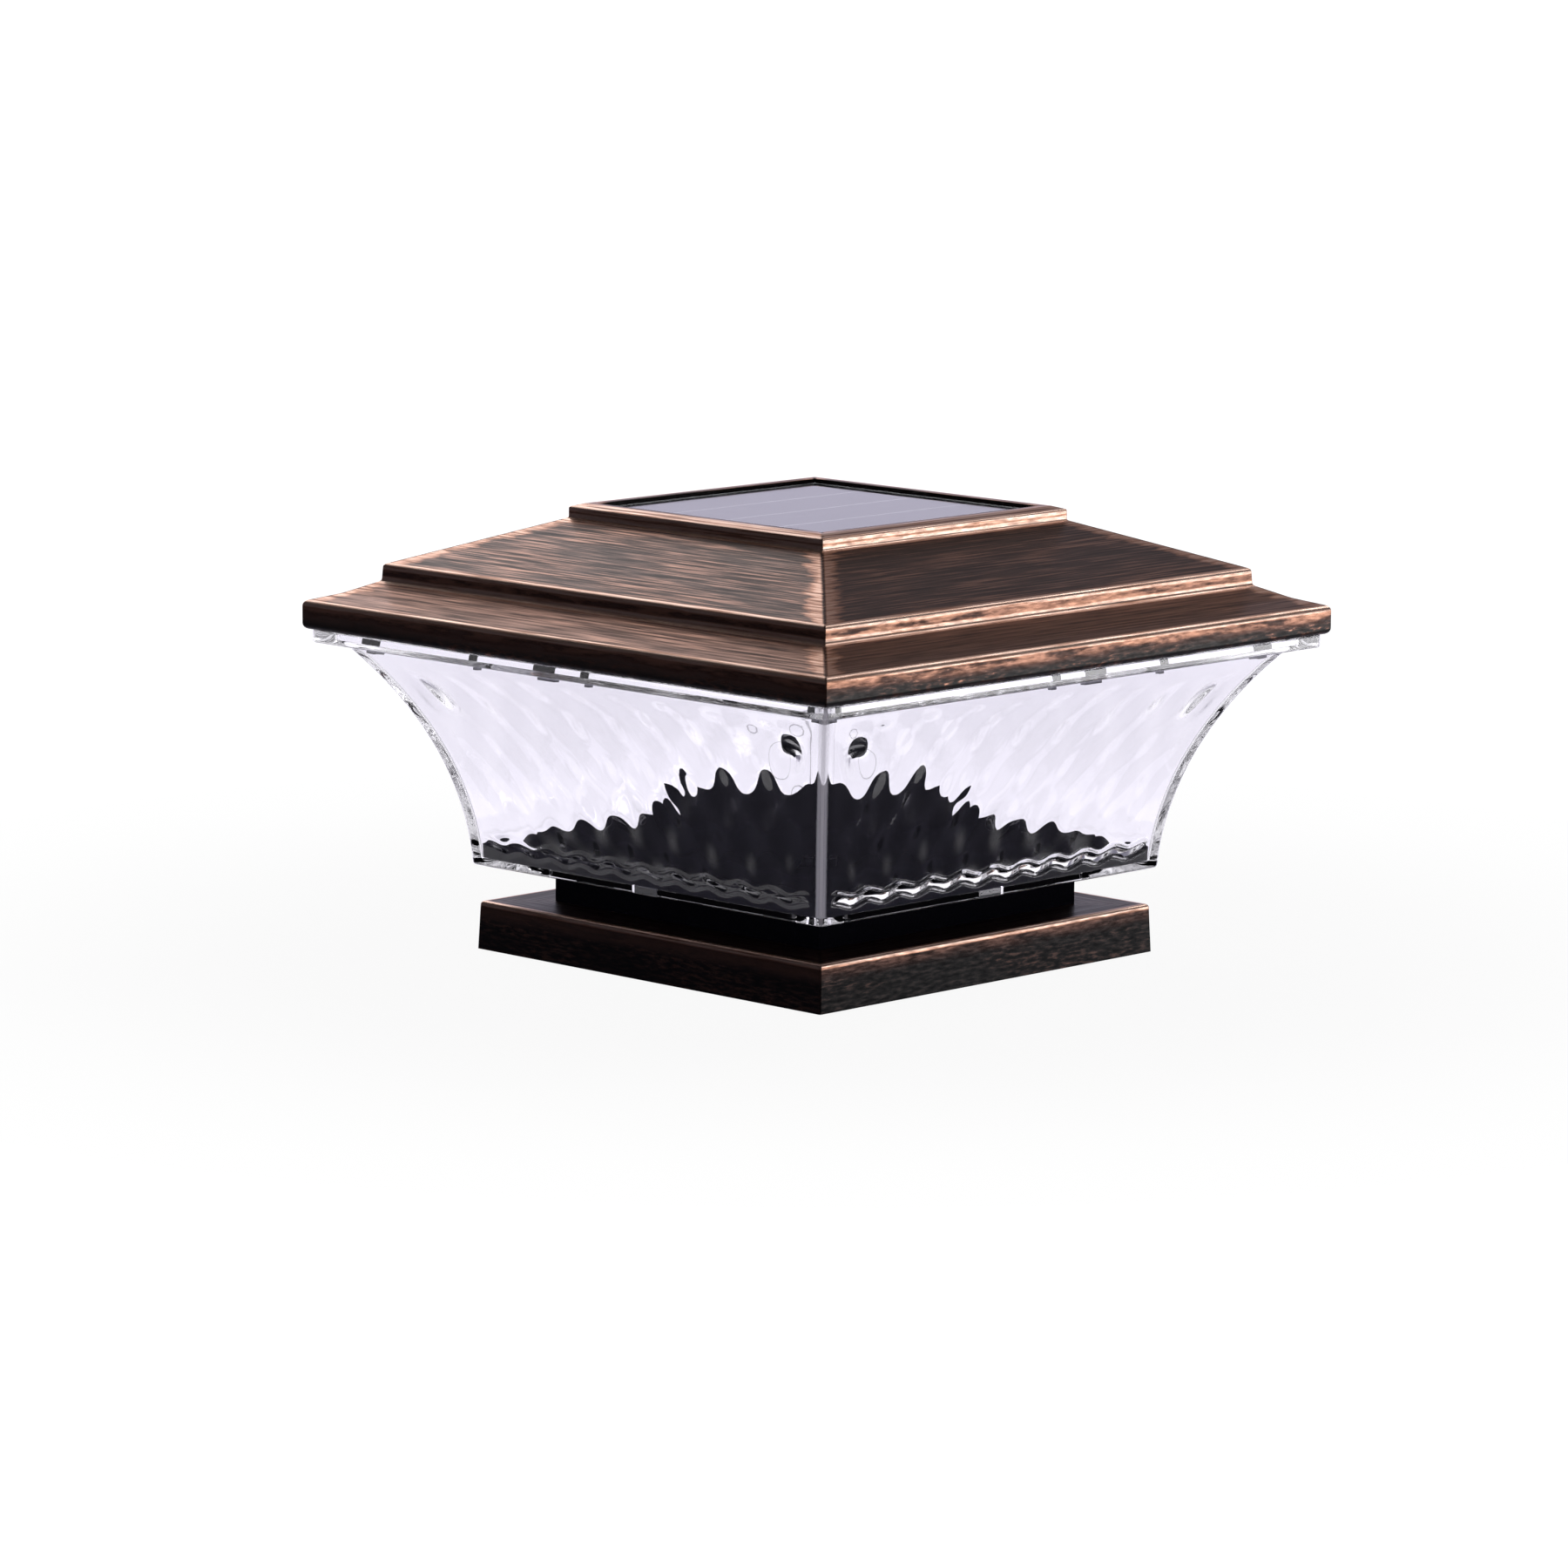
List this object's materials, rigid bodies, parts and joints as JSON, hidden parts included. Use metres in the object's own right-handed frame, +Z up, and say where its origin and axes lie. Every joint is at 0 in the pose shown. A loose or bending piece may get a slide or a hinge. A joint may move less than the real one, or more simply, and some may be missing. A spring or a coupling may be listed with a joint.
{
  "type": "solar pillar light",
  "caption": "Square solar post cap light: stepped copper-finish roof with a solar panel, flared rippled clear lens, black floor and neck, and a base sleeve that drops over a post.",
  "frame": {"origin": "middle of the base's bottom rim", "axes": "+Z up, -Y the front, the front corner of the picture at +X -Y"},
  "size_m": [0.148, 0.148, 0.0918],
  "materials": {
    "copper_finish": "antique copper dry-brushed over black moulded ABS",
    "black_plastic": "moulded black ABS",
    "clear_plastic": "clear moulded polystyrene",
    "solar_silicon": "dark blue silicon strips",
    "board_laminate": "glass fibre laminate",
    "foam": "closed-cell foam",
    "zinc_screw": "zinc plated",
    "nickel_contact": "nickel plated spring steel",
    "cell_jacket": "shrink-wrapped rechargeable cell",
    "red_insulation": "PVC",
    "black_insulation": "PVC",
    "ferrite": "sintered ferrite",
    "led_white": "white package with phosphor",
    "white_plastic": "moulded"
  },
  "bodies": {
    "base": {"base_sleeve": "copper_finish", "base_screws": "zinc_screw", "neck_collar": "black_plastic", "lens": "clear_plastic", "floor_tray": "black_plastic", "tray_screws": "zinc_screw"},
    "roof": {"roof_shell": "copper_finish", "panel_gasket": "foam", "panel_board": "board_laminate", "solar_cells": "solar_silicon", "panel_cover": "clear_plastic", "panel_lead_red": "red_insulation", "panel_lead_black": "black_insulation", "ceiling_plate": "black_plastic", "ceiling_screws": "zinc_screw", "circuit_board": "board_laminate", "board_screws": "zinc_screw", "driver_chip": "black_plastic", "inductor": "ferrite", "led_emitter": "led_white", "led_dome": "clear_plastic", "switch_body": "black_plastic", "battery_cell": "cell_jacket", "battery_spring": "nickel_contact", "battery_plus_contact": "nickel_contact", "battery_minus_contact": "nickel_contact", "battery_lead_red": "red_insulation", "battery_lead_black": "black_insulation"},
    "battery_door": {"battery_door": "black_plastic"},
    "switch_knob": {"switch_knob": "white_plastic"}
  },
  "joints": [
    {"name": "roof_lift", "type": "slide", "parent": "base", "child": "roof", "axis": [0, 0, 1], "range_m": [0, 0.06]},
    {"name": "battery_door_hinge", "type": "hinge", "parent": "roof", "child": "battery_door", "pos_m": [0, 0.02735, 0.0628], "axis": [1, 0, 0], "range_deg": [0, 95]},
    {"name": "switch_slide", "type": "slide", "parent": "roof", "child": "switch_knob", "axis": [1, 0, 0], "range_m": [0, 0.002]}
  ]
}
